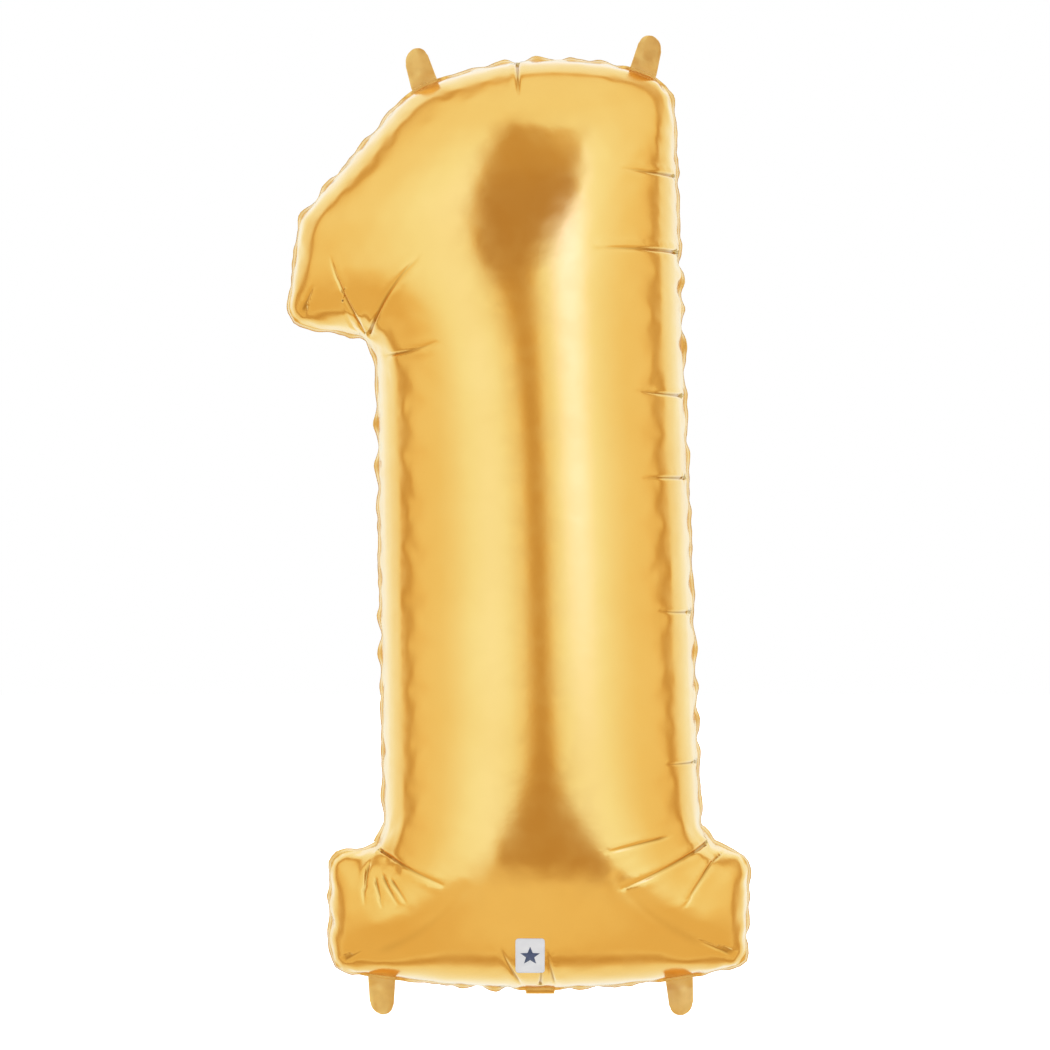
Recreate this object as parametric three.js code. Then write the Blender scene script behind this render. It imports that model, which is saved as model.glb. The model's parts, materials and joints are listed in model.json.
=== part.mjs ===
// Foil number balloon: the figure 1, inflated.
//
// Two gold film panels are welded together along their edge and blown up into a pillow. A flat
// welded flange runs all round it. Four tying tabs stand out of the flange, and the filling neck
// is folded back behind the bottom edge. Inside the neck end are the two films of the valve.
//
// Millimetres, +Z up, the front faces -Y. The seam lies in the plane y = 0.
// The balloon is drawn with x from the middle of the stem and z from the lowest point of the
// seam. The whole group is then moved so that the origin is the point that it hangs from, midway
// between the roots of the two top tabs.

import * as THREE from 'three';
import { ConvexHull } from 'three/addons/math/ConvexHull.js';

// Driving dimensions of the inflated balloon

const HEIGHT = 874; // highest to lowest point of the flange
const DEPTH = 250; // front to back at the fattest place
const FLANGE_WIDTH = 8; // flat welded edge outside the seam

const STEM = { topLeft: -150, topRight: 131, bottomLeft: -142, bottomRight: 157 };
const BASE = { left: -193, right: 202, top: 133, rise: 19 }; // rise: end corners above the lowest point
const FLAG = { tip: -234, tipZ: 624, top: -223, topZ: 722, rootZ: 613 };
const SHOULDER = { x: -116, drop: 28 }; // where the slanted edge meets the top edge

const FILM = 1; // wall of a panel, thicker than real film so that it is a sound solid
const HALF_GAP = 0.75; // seam plane to the inner face of a panel's flange
const WELD = 0.9; // thickness of the fused layer between the flanges
const CLEARANCE = 0.35; // between pieces that touch

const TAB = { rootWidth: 24, tipWidth: 20, length: 33, thickness: 1 };
const NECK = { x: 5, width: 30, length: 58, lift: 12, fold: 1.6 };
const VALVE = { width: 24, length: 120, thickness: 0.25 };

const EDGE_STEP = 17; // spacing of points along the flange
const MESH_STEP = 25; // spacing of points over the domes

const GOLD = new THREE.Color(0.93, 0.7, 0.3);

// Outline of the flange, clockwise from the shoulder. Each corner is [x, z, cut], and cut is how
// far from the corner its rounding starts.

const CORNERS = [
  [SHOULDER.x, HEIGHT - SHOULDER.drop, 26],
  [-36, HEIGHT - 4, 30],
  [22, HEIGHT, 25],
  [80, HEIGHT - 6, 22],
  [STEM.topRight, HEIGHT - 24, 30],
  [STEM.bottomRight, BASE.top + 5, 28],
  [BASE.right, BASE.top - 2, 16],
  [BASE.right - 3, BASE.rise + 3, 16],
  [97, 5, 40],
  [NECK.x, 0, 40],
  [-80, 4, 40],
  [BASE.left, BASE.rise, 16],
  [BASE.left, BASE.top, 18],
  [STEM.bottomLeft, BASE.top, 24],
  [STEM.topLeft, FLAG.rootZ, 28],
  [FLAG.tip + 30, FLAG.rootZ + 3, 18],
  [FLAG.tip, FLAG.tipZ + 4, 12],
  [FLAG.top - 3, FLAG.topZ - 44, 24],
  [FLAG.top, FLAG.topZ, 14],
  [-176, 776, 40],
];

function outlinePath() {
  const corners = CORNERS.map(([x, z, cut]) => ({ point: new THREE.Vector2(x, z), cut }));
  const towards = (from, to, distance) =>
    to.clone().sub(from).setLength(distance).add(from);
  const path = new THREE.Path();
  corners.forEach(({ point, cut }, i) => {
    const before = corners.at(i - 1).point;
    const after = corners[(i + 1) % corners.length].point;
    const start = towards(point, before, cut);
    const end = towards(point, after, cut);
    if (i === 0) path.moveTo(start.x, start.y);
    else path.lineTo(start.x, start.y);
    path.quadraticCurveTo(point.x, point.y, end.x, end.y);
  });
  path.closePath();
  return path;
}

function spacedLoop(path, step) {
  const count = Math.round(path.getLength() / step);
  return path.getSpacedPoints(count).slice(0, count);
}

// The loop runs clockwise, so the inside is on the right of its direction.
function inset(loop, distance) {
  return loop.map((point, i) => {
    const along = loop[(i + 1) % loop.length].clone().sub(loop.at(i - 1)).normalize();
    return new THREE.Vector2(point.x + along.y * distance, point.y - along.x * distance);
  });
}

function distanceToLoop(point, loop) {
  const side = new THREE.Vector2();
  const offset = new THREE.Vector2();
  return Math.min(...loop.map((a, i) => {
    side.subVectors(loop[(i + 1) % loop.length], a);
    offset.subVectors(point, a);
    const share = THREE.MathUtils.clamp(offset.dot(side) / side.lengthSq(), 0, 1);
    return offset.addScaledVector(side, -share).length();
  }));
}

function isInside(point, loop) {
  let inside = false;
  loop.forEach((a, i) => {
    const b = loop.at(i - 1);
    const crosses = (a.y > point.y) !== (b.y > point.y);
    if (crosses && point.x < a.x + ((point.y - a.y) / (b.y - a.y)) * (b.x - a.x)) inside = !inside;
  });
  return inside;
}

// Flat mesh of the panel: four loops of points near the edge, then an even triangular grid.

function innerPoints(edge) {
  const { min, max } = new THREE.Box2().setFromPoints(edge);
  const rowStep = MESH_STEP * Math.sqrt(0.75);
  const points = [];
  for (let row = 0; min.y + row * rowStep < max.y; row += 1) {
    const shift = (row % 2) * 0.5 * MESH_STEP;
    for (let x = min.x + shift; x < max.x; x += MESH_STEP) {
      const point = new THREE.Vector2(x, min.y + row * rowStep);
      if (isInside(point, edge) && distanceToLoop(point, edge) > 1.3 * MESH_STEP) points.push(point);
    }
  }
  return points;
}

// The lower side of the convex hull of points lifted onto a paraboloid is their Delaunay mesh.
function delaunay(points) {
  const lifted = points.map(({ x, y }) => new THREE.Vector3(x, y, (x * x + y * y) / HEIGHT));
  const indexOf = new Map(lifted.map((point, i) => [point, i]));
  const hull = new ConvexHull().setFromPoints(lifted);
  return hull.faces
    .filter((face) => face.normal.z < 0)
    .map((face) => [face.edge, face.edge.next, face.edge.prev].map((e) => indexOf.get(e.head().point)));
}

function flatPanel(flangeEdge) {
  const seam = inset(flangeEdge, FLANGE_WIDTH);
  const foot = inset(flangeEdge, FLANGE_WIDTH + 2.5);
  const middles = flangeEdge.map((point, i) => point.clone().lerp(flangeEdge.at(i - 1), 0.5));
  const shoulder = inset(middles, FLANGE_WIDTH + 13).filter(
    (point) => distanceToLoop(point, flangeEdge) > FLANGE_WIDTH + 12);
  const count = flangeEdge.length;
  const points = [...flangeEdge, ...seam, ...foot, ...shoulder, ...innerPoints(flangeEdge)];

  const triangles = [];
  for (const loop of [0, 1]) {
    for (let i = 0; i < count; i += 1) {
      const a = loop * count + i;
      const b = loop * count + ((i + 1) % count);
      triangles.push([a, b, a + count], [b, b + count, a + count]);
    }
  }
  const isWithinFoot = (triangle) => {
    const centre = new THREE.Vector2();
    triangle.forEach((i) => centre.addScaledVector(points[2 * count + i], 1 / 3));
    return isInside(centre, foot);
  };
  for (const triangle of delaunay(points.slice(2 * count)).filter(isWithinFoot)) {
    triangles.push(triangle.map((i) => i + 2 * count));
  }
  return { points, triangles, count };
}

// Height of the inflated film over the flat mesh. A soap film blown up over the outline has a
// height u whose curvature is the same everywhere. The square root of u gives a round section
// that leaves the seam at a right angle, as a pressurised film does.
function inflatedHeights({ points, triangles, count }) {
  const neighbours = points.map(() => new Map());
  const areas = points.map(() => 0);
  for (const triangle of triangles) {
    triangle.forEach((i, turn) => {
      const j = triangle[(turn + 1) % 3];
      const opposite = points[triangle[(turn + 2) % 3]];
      const toI = points[i].clone().sub(opposite);
      const toJ = points[j].clone().sub(opposite);
      const twiceArea = Math.abs(toI.cross(toJ));
      const weight = toI.dot(toJ) / twiceArea / 2;
      neighbours[i].set(j, (neighbours[i].get(j) ?? 0) + weight);
      neighbours[j].set(i, (neighbours[j].get(i) ?? 0) + weight);
      areas[i] += twiceArea / 6;
    });
  }
  const film = points.map(() => 0);
  for (let sweep = 0; sweep < 1500; sweep += 1) {
    for (let i = 2 * count; i < points.length; i += 1) {
      let pull = areas[i];
      let total = 0;
      for (const [j, weight] of neighbours[i]) {
        pull += weight * film[j];
        total += weight;
      }
      film[i] = pull / total;
    }
  }
  const highest = Math.max(...film);
  const rise = DEPTH / 2 - HALF_GAP - FILM;
  return film.map((u) => rise * Math.sqrt(Math.max(u, 0) / highest));
}

// One closed solid from an outer sheet and its inner copy, one film thickness inside it.
function panelGeometry(flat, heights, side) {
  const { points, triangles, count } = flat;
  const outer = new THREE.BufferGeometry().setFromPoints(points.map(
    (point, i) => new THREE.Vector3(point.x, side * (HALF_GAP + FILM + heights[i]), point.y)));
  // Seen from the front the triangles run clockwise, so they face the back.
  const faces = side > 0 ? triangles : triangles.map(([a, b, c]) => [a, c, b]);
  outer.setIndex(faces.flat());
  outer.computeVertexNormals();

  const { position, normal } = outer.attributes;
  const total = points.length;
  const vertices = [...position.array];
  for (let i = 0; i < total; i += 1) {
    vertices.push(
      position.getX(i) - FILM * normal.getX(i),
      position.getY(i) - FILM * normal.getY(i),
      position.getZ(i) - FILM * normal.getZ(i));
  }
  const index = [...faces.flat()];
  for (const [a, b, c] of faces) {
    index.push(a + total, c + total, b + total);
  }
  for (let i = 0; i < count; i += 1) {
    const next = (i + 1) % count;
    const rim = [next, i, i + total, next, i + total, next + total];
    index.push(...(side > 0 ? rim : rim.reverse()));
  }
  const geometry = new THREE.BufferGeometry();
  geometry.setAttribute('position', new THREE.Float32BufferAttribute(vertices, 3));
  geometry.setIndex(index);
  geometry.computeVertexNormals();
  return geometry;
}

// Flat films, drawn in x and z and given a thickness along y, centred on y = 0.

function filmGeometry(shape, thickness) {
  const geometry = new THREE.ExtrudeGeometry(shape, { depth: thickness, bevelEnabled: false, curveSegments: 6 });
  geometry.translate(0, 0, -thickness / 2);
  geometry.rotateX(Math.PI / 2);
  return geometry;
}

// The fused layer between the flanges, left open where the valve passes through it.
function weldGeometry(edge) {
  const atNeck = (point) => point.y < BASE.rise && Math.abs(point.x - NECK.x) < NECK.width / 2;
  const firstAfterNeck = edge.findIndex((point, i) => !atNeck(point) && atNeck(edge.at(i - 1)));
  const outside = [...edge.slice(firstAfterNeck), ...edge.slice(0, firstAfterNeck)]
    .filter((point) => !atNeck(point));
  const inside = inset(edge, FLANGE_WIDTH - CLEARANCE);
  const insideInOrder = [...inside.slice(firstAfterNeck), ...inside.slice(0, firstAfterNeck)]
    .filter((point, i) => i < outside.length);
  return filmGeometry(new THREE.Shape([...outside, ...insideInOrder.reverse()]), WELD);
}

// A tongue with its root on the x axis, its length along +z and a round tip set off by sway.
function tabGeometry(sway) {
  const tipRadius = TAB.tipWidth / 2;
  const shape = new THREE.Shape();
  shape.moveTo(-TAB.rootWidth / 2, 0);
  shape.lineTo(TAB.rootWidth / 2, 0);
  shape.lineTo(sway + tipRadius, TAB.length - tipRadius);
  shape.absarc(sway, TAB.length - tipRadius, tipRadius, 0, Math.PI, false);
  return filmGeometry(shape, TAB.thickness);
}

function strip(width, length) {
  const shape = new THREE.Shape();
  shape.moveTo(-width / 2, 0);
  shape.lineTo(width / 2, 0);
  shape.lineTo(width / 2, length);
  shape.lineTo(-width / 2, length);
  return shape;
}

function mesh(name, geometry, colour, roughness, metalness) {
  const material = new THREE.MeshStandardMaterial({ color: colour, roughness, metalness });
  const piece = new THREE.Mesh(geometry, material);
  piece.name = name;
  return piece;
}

const foil = (name, geometry) => mesh(name, geometry, GOLD, 0.25, 1);
const clearFilm = (name, geometry) => mesh(name, geometry, new THREE.Color(0.85, 0.86, 0.84), 0.4, 0);

// Each tab stands out of the flange where x says. Its lean is from +z towards -x, in degrees.

const HINGE_GAP = TAB.thickness / 2 + CLEARANCE;
const TABS = [
  { name: 'tab_top_left', x: -103, end: 1, lean: 17 },
  { name: 'tab_top_right', x: 101, end: 1, lean: -15 },
  { name: 'tab_bottom_left', x: -143, end: -1, lean: 0 },
  { name: 'tab_bottom_right', x: 135, end: -1, lean: 4 },
];

// The highest or lowest point of the flange's edge at x
function edgePoint(edge, x, end) {
  const crossings = edge.flatMap((a, i) => {
    const b = edge.at(i - 1);
    if ((a.x > x) === (b.x > x)) return [];
    return [THREE.MathUtils.mapLinear(x, a.x, b.x, a.y, b.y)];
  });
  return new THREE.Vector2(x, end * Math.max(...crossings.map((z) => end * z)));
}

// A tab's root is a straight line across the edge, and clear of it all along.
function rootOf({ x, end }, edge) {
  const across = [-0.5, -0.25, 0, 0.25, 0.5].map((share) => edgePoint(edge, x + share * TAB.rootWidth, end));
  const along = across.at(-1).clone().sub(across[0]).normalize();
  const outward = new THREE.Vector2(-along.y, along.x).multiplyScalar(end);
  const bulge = Math.max(...across.map((point) => point.clone().sub(across[0]).dot(outward)));
  const place = across[0].clone().lerp(across.at(-1), 0.5).addScaledVector(outward, bulge + HINGE_GAP);
  return { place, along, outward };
}

function tab(spec, edge) {
  const { place, along, outward } = rootOf(spec, edge);
  const lean = THREE.MathUtils.degToRad(spec.lean);
  const tipWay = new THREE.Vector2(-Math.sin(lean), Math.cos(lean)).multiplyScalar(spec.end);
  const rootLine = along.clone().multiplyScalar(spec.end);
  const sway = (TAB.length * tipWay.dot(rootLine)) / tipWay.dot(outward);
  const piece = foil(spec.name, tabGeometry(sway));
  piece.position.set(place.x, 0, place.y);
  piece.rotation.y = Math.atan2(outward.x, outward.y);
  return piece;
}

// The neck's two films lie one behind the other, folded back from the bottom edge.
function neck() {
  const holder = new THREE.Group();
  holder.position.set(NECK.x, 0, -HINGE_GAP - NECK.fold);
  holder.rotation.x = THREE.MathUtils.degToRad(NECK.lift - 90);
  const spread = (FILM + CLEARANCE) / 2;
  for (const [name, side] of [['neck_film_front', 1], ['neck_film_back', -1]]) {
    const film = foil(name, filmGeometry(strip(NECK.width, NECK.length), FILM));
    film.position.y = side * spread;
    holder.add(film);
  }
  return holder;
}

// The valve's two clear films run up from the flange's edge into the balloon.
function valve() {
  const holder = new THREE.Group();
  holder.position.set(NECK.x, 0, 1);
  const spread = (VALVE.thickness + CLEARANCE) / 2;
  for (const [name, side] of [['valve_film_front', -1], ['valve_film_back', 1]]) {
    const film = clearFilm(name, filmGeometry(strip(VALVE.width, VALVE.length), VALVE.thickness));
    film.position.y = side * spread;
    holder.add(film);
  }
  return holder;
}

const flangeEdge = spacedLoop(outlinePath(), EDGE_STEP);
const flat = flatPanel(flangeEdge);
const heights = inflatedHeights(flat);

const balloon = new THREE.Group();
balloon.add(
  foil('front_panel', panelGeometry(flat, heights, -1)),
  foil('back_panel', panelGeometry(flat, heights, 1)),
  clearFilm('seam_weld', weldGeometry(flangeEdge)),
  ...TABS.map((spec) => tab(spec, flangeEdge)),
  neck(),
  valve(),
);
const [topLeft, topRight] = TABS.map((spec) => rootOf(spec, flangeEdge).place);
balloon.position.set(-(topLeft.x + topRight.x) / 2, 0, -(topLeft.y + topRight.y) / 2);

const number1 = new THREE.Group();
number1.add(balloon);
export default number1;
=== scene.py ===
"""Gold foil number balloon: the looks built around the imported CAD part.

Metres, +Z up, and the front faces -Y. The CAD front panel is laid flat, which gives the cut of the film.
Two films of that cut, joined at the seam, start in the CAD's shape and settle as cloth under pressure,
which moves them by less than 2 mm. The seam's puckers, the welded flange and the creases are then shaped
in a finer mesh of the same cut.
"""

import json
import math

import bmesh
import bpy
import numpy as np
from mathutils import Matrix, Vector
from mathutils.bvhtree import BVHTree
from mathutils.geometry import barycentric_transform, delaunay_2d_cdt
from mathutils.kdtree import KDTree


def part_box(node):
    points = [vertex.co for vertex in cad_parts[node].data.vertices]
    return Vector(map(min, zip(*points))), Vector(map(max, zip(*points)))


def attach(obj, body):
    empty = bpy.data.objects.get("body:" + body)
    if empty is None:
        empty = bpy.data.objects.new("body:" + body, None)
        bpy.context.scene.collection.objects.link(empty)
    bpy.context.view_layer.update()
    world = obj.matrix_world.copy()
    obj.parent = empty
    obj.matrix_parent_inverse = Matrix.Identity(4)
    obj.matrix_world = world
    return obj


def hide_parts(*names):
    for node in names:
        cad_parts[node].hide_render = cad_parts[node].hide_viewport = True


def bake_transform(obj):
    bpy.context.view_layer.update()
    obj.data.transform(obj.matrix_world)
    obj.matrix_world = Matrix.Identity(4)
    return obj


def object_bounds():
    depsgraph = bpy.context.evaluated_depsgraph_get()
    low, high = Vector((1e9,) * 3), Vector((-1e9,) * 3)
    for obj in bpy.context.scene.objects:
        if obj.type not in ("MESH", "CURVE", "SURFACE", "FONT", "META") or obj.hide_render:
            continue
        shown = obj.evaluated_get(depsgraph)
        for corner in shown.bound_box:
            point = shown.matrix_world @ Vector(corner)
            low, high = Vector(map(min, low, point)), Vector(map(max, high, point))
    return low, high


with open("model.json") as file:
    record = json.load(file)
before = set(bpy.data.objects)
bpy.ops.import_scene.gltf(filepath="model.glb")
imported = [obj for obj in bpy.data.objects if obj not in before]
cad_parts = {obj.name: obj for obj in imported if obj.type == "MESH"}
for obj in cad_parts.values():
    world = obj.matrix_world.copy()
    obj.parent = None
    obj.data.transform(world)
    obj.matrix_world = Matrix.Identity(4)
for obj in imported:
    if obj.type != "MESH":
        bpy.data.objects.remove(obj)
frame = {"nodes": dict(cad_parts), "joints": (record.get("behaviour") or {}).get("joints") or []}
CAD_BOX = [list(corner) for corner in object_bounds()]

MM = 0.001
FRONT, BACK = -1, 1
FILM = 0.25 * MM             # how thick the film is drawn; the real one is about 0.04 mm
LAYER = 0.42 * MM            # from the middle of the flange to the outer face of either film
SEAM_SPREAD = 5.6 * MM       # how far the full film pushes the seam out past the flat flange's inner edge
FLANGE_WIDTH = 8 * MM        # the welded border outside the seam
CLOTH_STEP = 8 * MM          # spacing of the cloth's points
CLOTH_FRAMES = 30
CLOTH_GROWTH = 1.006         # how much larger the cloth's rest shape is than the flat pattern of the CAD dome
FILM_STEP = 3.6 * MM         # spacing of the points of the finished film
CREASE_STEP = 1.1 * MM       # spacing of the rows of points along a crease
RANDOM = np.random.default_rng(11)


# ---------------------------------------------------------------- flat pattern of the film

def outer_sheet(node):
    """Points and triangles of the bulging outside of a CAD panel, up to the seam."""
    work = bmesh.new()
    work.from_mesh(frame["nodes"][node].data)
    bmesh.ops.remove_doubles(work, verts=work.verts, dist=0.001 * MM)
    work.normal_update()
    flange_level = min(abs(v.co.y) for v in work.verts) + 1.1 * MM
    faces = [
        f for f in work.faces
        if f.normal.y < -0.01 and any(v.co.y < -flange_level for v in f.verts)
    ]
    used = sorted({v.index for f in faces for v in f.verts})
    place = {index: i for i, index in enumerate(used)}
    work.verts.ensure_lookup_table()
    points = np.array([work.verts[i].co for i in used])
    triangles = np.array([[place[v.index] for v in f.verts] for f in faces])
    work.free()
    return points, triangles


def edge_pairs(triangles):
    """Each edge once, as a pair of point numbers."""
    pairs = np.vstack([triangles[:, [0, 1]], triangles[:, [1, 2]], triangles[:, [2, 0]]])
    return np.unique(np.sort(pairs, axis=1), axis=0)


def rim_of(triangles):
    """Point numbers round the open edge, in order."""
    sides = {(int(t[i]), int(t[(i + 1) % 3])) for t in triangles for i in range(3)}
    after = {a: b for a, b in sides if (b, a) not in sides}
    loop = [min(after)]
    while after[loop[-1]] != loop[0]:
        loop.append(after[loop[-1]])
    return np.array(loop)


def lengths_round(loop):
    """Length of each side of a closed loop of points."""
    return np.linalg.norm(np.roll(loop, -1, axis=0) - loop, axis=1)


def smooth_round(values, reach, perimeter):
    """Values round a loop, smoothed over a reach along it."""
    count = len(values)
    waves = np.fft.fftfreq(count) * count
    keep = np.exp(-0.5 * (2 * math.pi * waves * reach / perimeter) ** 2)
    return np.real(np.fft.ifft(np.fft.fft(values, axis=0) * keep[:, None], axis=0))


def outward_of(loop):
    """Unit vectors pointing out of a flat anticlockwise loop, one at each point."""
    along = np.roll(loop, -1, axis=0) - np.roll(loop, 1, axis=0)
    along /= np.linalg.norm(along, axis=1)[:, None]
    return np.stack([along[:, 1], -along[:, 0]], axis=1)


def half_widths(loop, outward, most):
    """Radius of the largest circle inside the loop that touches it at each point."""
    found = np.full(len(loop), most)
    for i, point in enumerate(loop):
        apart = loop - point
        depth = apart @ outward[i]
        facing = depth < -0.1 * MM
        radii = (apart[facing] ** 2).sum(axis=1) / (-2 * depth[facing])
        found[i] = min(most, radii.min())
    return np.max([np.roll(found, k) for k in range(-3, 4)], axis=0)


def spread_inside(flat, fixed, edges, weights, sweeps):
    """Moves the free points to the weighted middle of their neighbours."""
    for _ in range(sweeps):
        total = np.zeros_like(flat)
        share = np.zeros((len(flat), 1))
        for here, there in ((0, 1), (1, 0)):
            np.add.at(total, edges[:, here], flat[edges[:, there]] * weights[:, None])
            np.add.at(share, edges[:, here], weights[:, None])
        flat[~fixed] = (total / share)[~fixed]


def restore_lengths(flat, edges, lengths, sweeps):
    """Moves all the points until each edge is about as long as it is on the dome."""
    meetings = np.bincount(edges.ravel(), minlength=len(flat))[:, None]
    for _ in range(sweeps):
        apart = flat[edges[:, 1]] - flat[edges[:, 0]]
        now = np.linalg.norm(apart, axis=1) + 1e-12
        move = apart * ((now - lengths) / now * 0.5)[:, None]
        total = np.zeros_like(flat)
        np.add.at(total, edges[:, 0], move)
        np.add.at(total, edges[:, 1], -move)
        flat += total / meetings * 1.5


def flatten(points, triangles):
    """Lays a dome out flat. Returns the flat place of each point."""
    rim = rim_of(triangles)
    loop = points[rim][:, [0, 2]]
    perimeter = lengths_round(loop).sum()
    outward = outward_of(loop)
    widths = half_widths(loop, outward, most=0.14)
    growth = smooth_round(widths[:, None], 0.03, perimeter) * 0.5
    flat = points[:, [0, 2]].copy()
    flat[rim] = loop + smooth_round(outward * growth, 0.02, perimeter)
    fixed = np.zeros(len(flat), bool)
    fixed[rim] = True
    edges = edge_pairs(triangles)
    lengths = np.linalg.norm(points[edges[:, 0]] - points[edges[:, 1]], axis=1)
    spread_inside(flat, fixed, edges, 1 / lengths, sweeps=2500)
    restore_lengths(flat, edges, lengths, sweeps=3000)
    return flat, rim


# ---------------------------------------------------------------- meshes of the flat pattern

def resample(loop, step, *others):
    """Points evenly spaced round a closed loop, and what the other arrays hold at them."""
    closed = np.vstack([loop, loop[:1]])
    travelled = np.r_[0, np.cumsum(np.linalg.norm(np.diff(closed, axis=0), axis=1))]
    count = round(travelled[-1] / step)
    at = np.linspace(0, travelled[-1], count, endpoint=False)
    made = []
    for array in (loop, *others):
        ends = np.vstack([array, array[:1]])
        made.append(np.stack([np.interp(at, travelled, ends[:, k]) for k in range(ends.shape[1])], 1))
    return made


def inside(points, loop):
    """True for each point within a closed loop."""
    x, z = points[:, 0], points[:, 1]
    found = np.zeros(len(points), bool)
    for a, b in zip(loop, np.roll(loop, 1, axis=0)):
        crosses = (a[1] > z) != (b[1] > z)
        found ^= crosses & (x < a[0] + (z - a[1]) / (b[1] - a[1] + 1e-15) * (b[0] - a[0]))
    return found


def honeycomb(loop, step):
    """Evenly spaced points inside a loop."""
    low, high = loop.min(axis=0), loop.max(axis=0)
    rows = []
    for k, z in enumerate(np.arange(low[1], high[1], step * math.sqrt(0.75))):
        across = np.arange(low[0] + (k % 2) * step / 2, high[0], step)
        rows.append(np.stack([across, np.full(len(across), z)], axis=1))
    grid = np.vstack(rows)
    return grid[inside(grid, loop)]


def sift(groups):
    """The groups' points in turn, without any that comes within its group's gap of one already kept."""
    reach = max(gap for _, gap in groups)
    cells = {}
    kept = []
    for points, gap in groups:
        for point in points.tolist():
            column, row = int(point[0] // reach), int(point[1] // reach)
            around = [cells.get((column + i, row + j), ()) for i in (-1, 0, 1) for j in (-1, 0, 1)]
            if all(math.dist(point, other) > gap for cell in around for other in cell):
                kept.append(point)
                cells.setdefault((column, row), []).append(point)
    return np.array(kept)


def triangulate(points, rim_count):
    """Triangles over points whose first ones are the outline, all the same way round."""
    rim = [(i, (i + 1) % rim_count) for i in range(rim_count)]
    corners = [Vector(p) for p in points.tolist()]
    made = delaunay_2d_cdt(corners, rim, [list(range(rim_count))], 1, 1e-8)
    if len(made[0]) != len(points):
        raise RuntimeError("the pattern's points are too close together")
    triangles = np.array([list(face) for face in made[2]])
    a, b, c = (points[triangles[:, k]] for k in range(3))
    turned = (b[:, 0] - a[:, 0]) * (c[:, 1] - a[:, 1]) - (b[:, 1] - a[:, 1]) * (c[:, 0] - a[:, 0])
    triangles[turned < 0] = triangles[turned < 0][:, ::-1]
    return triangles


class Surface:
    """A surface in space, with the place of each of its points on the flat cut."""

    def __init__(self, flat, solid, faces):
        self.flat = np.column_stack([flat, np.zeros(len(flat))])
        self.solid = solid
        self.faces = faces
        self.flat_tree = BVHTree.FromPolygons(self.flat.tolist(), faces.tolist())

    def in_space(self, points):
        """Where points of the cut lie in space."""
        placed = np.empty((len(points), 3))
        for i, (x, z) in enumerate(points.tolist()):
            near, _, face, _ = self.flat_tree.find_nearest(Vector((x, z, 0)))
            placed[i] = self.across(near, face, self.flat, self.solid)
        return placed

    def on_cut(self, paths, side):
        """Where front-view paths lie on the cut, as seen from the side that the film faces."""
        solid_tree = BVHTree.FromPolygons(self.solid.tolist(), self.faces.tolist())
        laid = []
        for path in paths:
            hits = [solid_tree.ray_cast(Vector((x, side, z)), Vector((0, -side, 0))) for x, z in path]
            places = [self.across(hit[0], hit[2], self.solid, self.flat) for hit in hits if hit[0]]
            laid.append(np.array(places)[:, :2])
        return laid

    def across(self, place, face, source, target):
        """The point of the target that matches a place in one of the source's faces."""
        corners = self.faces[face]
        return barycentric_transform(
            place, *[Vector(source[k]) for k in corners], *[Vector(target[k]) for k in corners])


def normals_of(points, triangles):
    """Unit normal at each point."""
    a, b, c = (points[triangles[:, k]] for k in range(3))
    across = np.cross(b - a, c - a)
    total = np.zeros_like(points)
    for k in range(3):
        np.add.at(total, triangles[:, k], across)
    return total / (np.linalg.norm(total, axis=1)[:, None] + 1e-15)


# ---------------------------------------------------------------- inflation

def new_mesh(name, points, faces):
    """A mesh object from arrays."""
    data = bpy.data.meshes.new(name)
    data.from_pydata(np.asarray(points).tolist(), [], [list(map(int, f)) for f in faces])
    data.update()
    made = bpy.data.objects.new(name, data)
    bpy.context.scene.collection.objects.link(made)
    return made


def points_of(mesh):
    """The points of a mesh as an array."""
    flat = np.empty(len(mesh.vertices) * 3)
    mesh.vertices.foreach_get("co", flat)
    return flat.reshape(-1, 3)


def balloon_of(cloth_flat, cloth_solid, triangles, rim_count):
    """Points, cut and faces of both films as one bag that shares the seam."""
    count = len(cloth_flat)
    points = np.vstack([cloth_solid, cloth_solid[rim_count:] * [1, -1, 1]])
    cut = np.zeros_like(points)
    cut[:count, [0, 2]] = cloth_flat
    cut[count:, [0, 2]] = cloth_flat[rim_count:]
    behind = np.where(triangles < rim_count, triangles, triangles + count - rim_count)
    return points, cut, np.vstack([triangles, behind[:, ::-1]])


def inflate(points, cut, faces, rim_count):
    """Where the bag settles under pressure, from the CAD's shape, with the cut at rest and the seam held."""
    bag = new_mesh("inflating_bag", points, faces)
    seam = bag.vertex_groups.new(name="seam")
    seam.add(list(range(rim_count)), 1.0, "REPLACE")
    bag.shape_key_add(name="Basis")
    rest = bag.shape_key_add(name="cut")
    middle = cut.mean(axis=0)
    rest.data.foreach_set("co", ((cut - middle) * CLOTH_GROWTH + middle).ravel())
    rest.value = 0
    cloth = bag.modifiers.new("cloth", "CLOTH")
    film = cloth.settings
    film.rest_shape_key = rest
    film.quality = 6
    film.mass = 0.05
    film.tension_stiffness = 60
    film.compression_stiffness = 60
    film.shear_stiffness = 60
    film.bending_model = "ANGULAR"
    film.bending_stiffness = 1e-4
    film.tension_damping = 5
    film.compression_damping = 5
    film.shear_damping = 5
    film.bending_damping = 0
    film.air_damping = 2
    film.vertex_group_mass = "seam"
    film.pin_stiffness = 1
    film.use_pressure = True
    film.uniform_pressure_force = 30
    film.effector_weights.gravity = 0
    cloth.collision_settings.use_collision = False
    cloth.point_cache.frame_start = 1
    cloth.point_cache.frame_end = CLOTH_FRAMES
    scene = bpy.context.scene
    scene.frame_start = 1
    scene.frame_end = CLOTH_FRAMES
    for step in range(1, CLOTH_FRAMES + 1):
        scene.frame_set(step)
    settled = points_of(bag.evaluated_get(bpy.context.evaluated_depsgraph_get()).data)
    bpy.data.objects.remove(bag)
    scene.frame_set(1)
    return settled


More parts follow.
